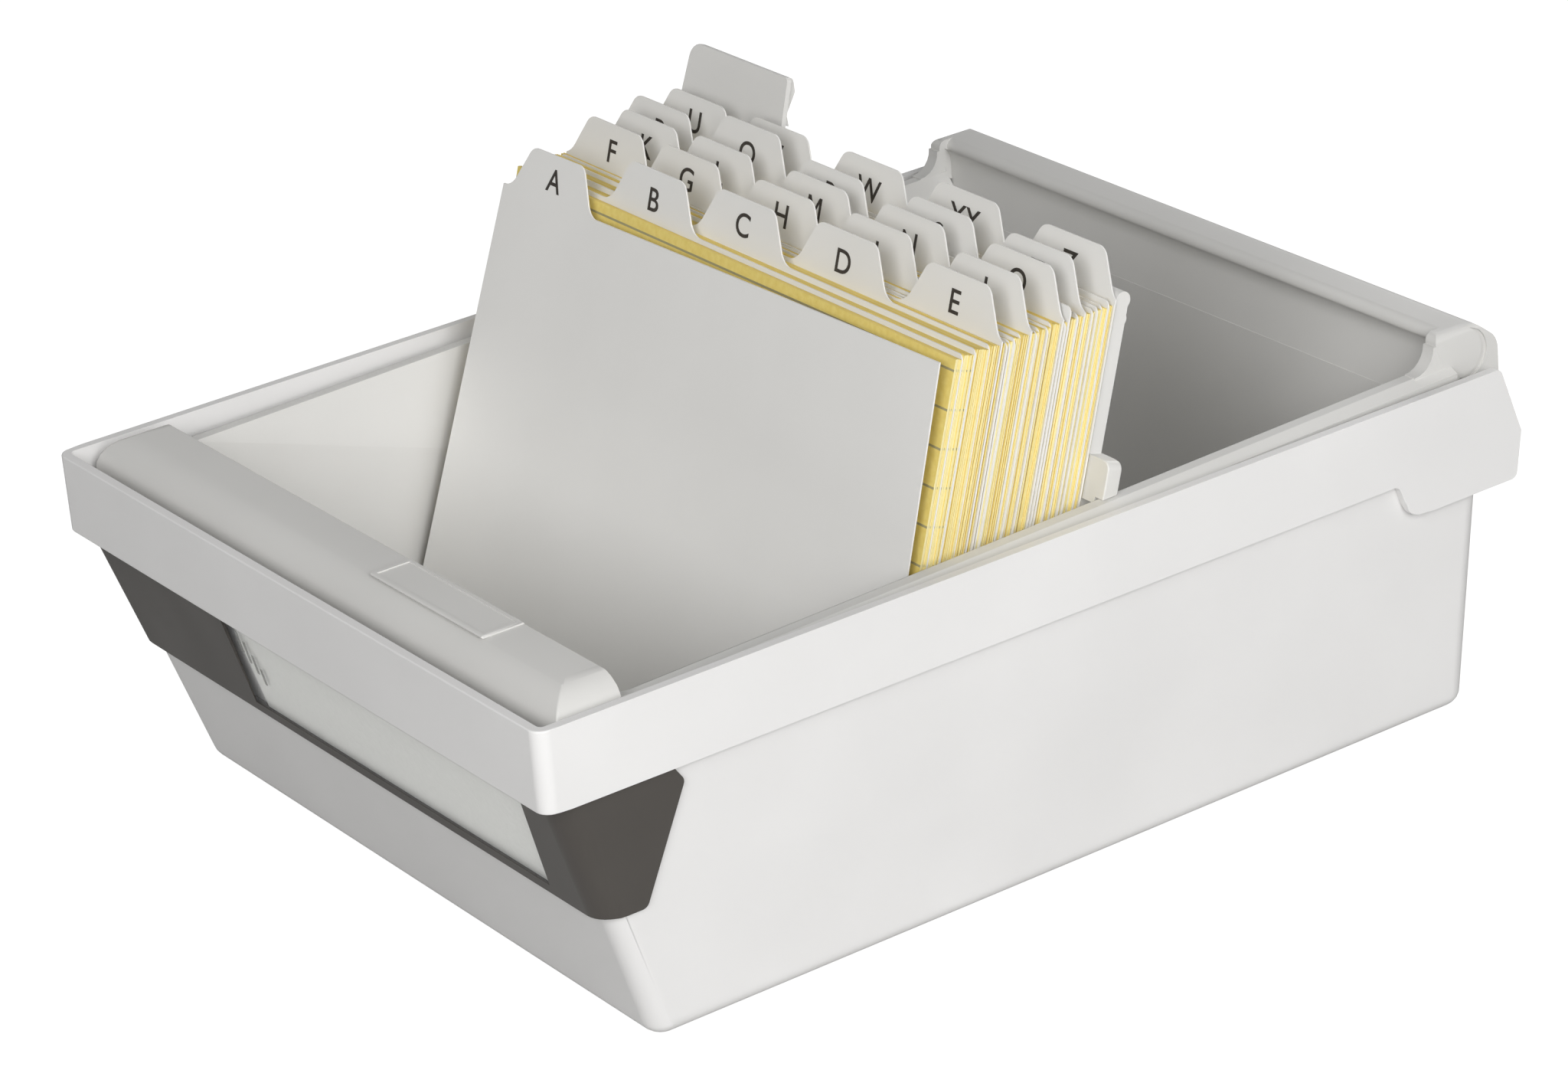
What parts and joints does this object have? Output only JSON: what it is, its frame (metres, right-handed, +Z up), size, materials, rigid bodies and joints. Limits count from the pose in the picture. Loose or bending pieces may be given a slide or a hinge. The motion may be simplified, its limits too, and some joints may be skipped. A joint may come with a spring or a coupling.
{
  "type": "index card drawer",
  "caption": "Open index card drawer: shell with a rim band, tray insert, label window with a sliding cover, sliding follower plate and lettered divider tabs in front of card packs.",
  "frame": {"origin": "on the bench, under the middle of the object's box", "axes": "+Z up, +Y from the label front to the rear hood, +X to the right seen from the label front"},
  "size_m": [0.1754, 0.231, 0.1239],
  "materials": {
    "shell": "fine moulded satin",
    "tray": "fine moulded satin",
    "trim": "satin charcoal",
    "clear_cover": "clear, polished",
    "label_card": "matt card",
    "dividers": "matt sheet",
    "grip": "slightly translucent, satin",
    "cards": "cut edges of paper cards"
  },
  "bodies": {
    "drawer": {"outer_shell": "shell", "inner_tray": "tray", "label_holder": "trim", "label_strip": "label_card"},
    "label_cover": {"label_cover": "clear_cover"},
    "follower": {"follower_plate": "tray", "grip_tab": "grip"},
    "section_A": {"divider_A": "dividers", "cards_A": "cards"},
    "section_B": {"divider_B": "dividers", "cards_B": "cards"},
    "section_C": {"divider_C": "dividers", "cards_C": "cards"},
    "section_D": {"divider_D": "dividers", "cards_D": "cards"},
    "section_E": {"divider_E": "dividers", "cards_E": "cards"},
    "section_F": {"divider_F": "dividers", "cards_F": "cards"},
    "section_G": {"divider_G": "dividers", "cards_G": "cards"},
    "section_H": {"divider_H": "dividers", "cards_H": "cards"},
    "section_I": {"divider_I": "dividers", "cards_I": "cards"},
    "section_J": {"divider_J": "dividers", "cards_J": "cards"},
    "section_K": {"divider_K": "dividers", "cards_K": "cards"},
    "section_L": {"divider_L": "dividers", "cards_L": "cards"},
    "section_M": {"divider_M": "dividers", "cards_M": "cards"},
    "section_N": {"divider_N": "dividers", "cards_N": "cards"},
    "section_O": {"divider_O": "dividers", "cards_O": "cards"},
    "section_P": {"divider_P": "dividers", "cards_P": "cards"},
    "section_Q": {"divider_Q": "dividers", "cards_Q": "cards"},
    "section_R": {"divider_R": "dividers", "cards_R": "cards"},
    "section_S": {"divider_S": "dividers", "cards_S": "cards"},
    "section_T": {"divider_T": "dividers", "cards_T": "cards"},
    "section_U": {"divider_U": "dividers", "cards_U": "cards"},
    "section_V": {"divider_V": "dividers", "cards_V": "cards"},
    "section_W": {"divider_W": "dividers", "cards_W": "cards"},
    "section_XY": {"divider_XY": "dividers", "cards_XY": "cards"},
    "section_Z": {"divider_Z": "dividers", "cards_Z": "cards"}
  },
  "joints": [
    {"name": "follower_slide", "type": "slide", "parent": "drawer", "child": "follower", "axis": [0, 0.9997, 0.0235], "range_m": [0, 0.07]},
    {"name": "label_cover_slide", "type": "slide", "parent": "drawer", "child": "label_cover", "axis": [-1, 0, 0], "range_m": [0, 0.035]},
    {"name": "tilt_A", "type": "hinge", "parent": "drawer", "child": "section_A", "pos_m": [0, -0.05137, 0.0065], "axis": [1, 0, 0], "range_deg": [0, 30]},
    {"name": "tilt_B", "type": "hinge", "parent": "drawer", "child": "section_B", "pos_m": [0, -0.03918, 0.0065], "axis": [1, 0, 0], "range_deg": [0, 27.02]},
    {"name": "tilt_C", "type": "hinge", "parent": "drawer", "child": "section_C", "pos_m": [0, -0.03637, 0.0065], "axis": [1, 0, 0], "range_deg": [0, 25.94]},
    {"name": "tilt_D", "type": "hinge", "parent": "drawer", "child": "section_D", "pos_m": [0, -0.03277, 0.0065], "axis": [1, 0, 0], "range_deg": [0, 24.86]},
    {"name": "tilt_E", "type": "hinge", "parent": "drawer", "child": "section_E", "pos_m": [0, -0.03027, 0.0065], "axis": [1, 0, 0], "range_deg": [0, 23.78]},
    {"name": "tilt_F", "type": "hinge", "parent": "drawer", "child": "section_F", "pos_m": [0, -0.02902, 0.0065], "axis": [1, 0, 0], "range_deg": [0, 22.7]},
    {"name": "tilt_G", "type": "hinge", "parent": "drawer", "child": "section_G", "pos_m": [0, -0.02828, 0.0065], "axis": [1, 0, 0], "range_deg": [0, 21.62]},
    {"name": "tilt_H", "type": "hinge", "parent": "drawer", "child": "section_H", "pos_m": [0, -0.02728, 0.0065], "axis": [1, 0, 0], "range_deg": [0, 20.54]},
    {"name": "tilt_I", "type": "hinge", "parent": "drawer", "child": "section_I", "pos_m": [0, -0.02538, 0.0065], "axis": [1, 0, 0], "range_deg": [0, 19.46]},
    {"name": "tilt_J", "type": "hinge", "parent": "drawer", "child": "section_J", "pos_m": [0, -0.02343, 0.0065], "axis": [1, 0, 0], "range_deg": [0, 18.38]},
    {"name": "tilt_K", "type": "hinge", "parent": "drawer", "child": "section_K", "pos_m": [0, -0.02208, 0.0065], "axis": [1, 0, 0], "range_deg": [0, 17.3]},
    {"name": "tilt_L", "type": "hinge", "parent": "drawer", "child": "section_L", "pos_m": [0, -0.02113, 0.0065], "axis": [1, 0, 0], "range_deg": [0, 16.22]},
    {"name": "tilt_M", "type": "hinge", "parent": "drawer", "child": "section_M", "pos_m": [0, -0.01947, 0.0065], "axis": [1, 0, 0], "range_deg": [0, 15.14]},
    {"name": "tilt_N", "type": "hinge", "parent": "drawer", "child": "section_N", "pos_m": [0, -0.01823, 0.0065], "axis": [1, 0, 0], "range_deg": [0, 14.06]},
    {"name": "tilt_O", "type": "hinge", "parent": "drawer", "child": "section_O", "pos_m": [0, -0.01593, 0.0065], "axis": [1, 0, 0], "range_deg": [0, 12.98]},
    {"name": "tilt_P", "type": "hinge", "parent": "drawer", "child": "section_P", "pos_m": [0, -0.01528, 0.0065], "axis": [1, 0, 0], "range_deg": [0, 11.9]},
    {"name": "tilt_Q", "type": "hinge", "parent": "drawer", "child": "section_Q", "pos_m": [0, -0.01463, 0.0065], "axis": [1, 0, 0], "range_deg": [0, 10.82]},
    {"name": "tilt_R", "type": "hinge", "parent": "drawer", "child": "section_R", "pos_m": [0, -0.01397, 0.0065], "axis": [1, 0, 0], "range_deg": [0, 9.74]},
    {"name": "tilt_S", "type": "hinge", "parent": "drawer", "child": "section_S", "pos_m": [0, -0.01247, 0.0065], "axis": [1, 0, 0], "range_deg": [0, 8.66]},
    {"name": "tilt_T", "type": "hinge", "parent": "drawer", "child": "section_T", "pos_m": [0, -0.01073, 0.0065], "axis": [1, 0, 0], "range_deg": [0, 7.58]},
    {"name": "tilt_U", "type": "hinge", "parent": "drawer", "child": "section_U", "pos_m": [0, -0.00898, 0.0065], "axis": [1, 0, 0], "range_deg": [0, 6.5]},
    {"name": "tilt_V", "type": "hinge", "parent": "drawer", "child": "section_V", "pos_m": [0, -0.00788, 0.0065], "axis": [1, 0, 0], "range_deg": [0, 5.42]},
    {"name": "tilt_W", "type": "hinge", "parent": "drawer", "child": "section_W", "pos_m": [0, -0.00632, 0.0065], "axis": [1, 0, 0], "range_deg": [0, 4.34]},
    {"name": "tilt_XY", "type": "hinge", "parent": "drawer", "child": "section_XY", "pos_m": [0, -0.00507, 0.0065], "axis": [1, 0, 0], "range_deg": [0, 3.26]},
    {"name": "tilt_Z", "type": "hinge", "parent": "drawer", "child": "section_Z", "pos_m": [0, -0.00373, 0.0065], "axis": [1, 0, 0], "range_deg": [0, 2.18]}
  ],
  "couplings": [
    {"joint": "tilt_B", "follows": "tilt_A", "ratio": 0.9},
    {"joint": "tilt_C", "follows": "tilt_A", "ratio": 0.864},
    {"joint": "tilt_D", "follows": "tilt_A", "ratio": 0.828},
    {"joint": "tilt_E", "follows": "tilt_A", "ratio": 0.792},
    {"joint": "tilt_F", "follows": "tilt_A", "ratio": 0.756},
    {"joint": "tilt_G", "follows": "tilt_A", "ratio": 0.72},
    {"joint": "tilt_H", "follows": "tilt_A", "ratio": 0.684},
    {"joint": "tilt_I", "follows": "tilt_A", "ratio": 0.648},
    {"joint": "tilt_J", "follows": "tilt_A", "ratio": 0.612},
    {"joint": "tilt_K", "follows": "tilt_A", "ratio": 0.576},
    {"joint": "tilt_L", "follows": "tilt_A", "ratio": 0.54},
    {"joint": "tilt_M", "follows": "tilt_A", "ratio": 0.504},
    {"joint": "tilt_N", "follows": "tilt_A", "ratio": 0.468},
    {"joint": "tilt_O", "follows": "tilt_A", "ratio": 0.432},
    {"joint": "tilt_P", "follows": "tilt_A", "ratio": 0.396},
    {"joint": "tilt_Q", "follows": "tilt_A", "ratio": 0.36},
    {"joint": "tilt_R", "follows": "tilt_A", "ratio": 0.324},
    {"joint": "tilt_S", "follows": "tilt_A", "ratio": 0.288},
    {"joint": "tilt_T", "follows": "tilt_A", "ratio": 0.252},
    {"joint": "tilt_U", "follows": "tilt_A", "ratio": 0.216},
    {"joint": "tilt_V", "follows": "tilt_A", "ratio": 0.18},
    {"joint": "tilt_W", "follows": "tilt_A", "ratio": 0.144},
    {"joint": "tilt_XY", "follows": "tilt_A", "ratio": 0.108},
    {"joint": "tilt_Z", "follows": "tilt_A", "ratio": 0.072}
  ]
}
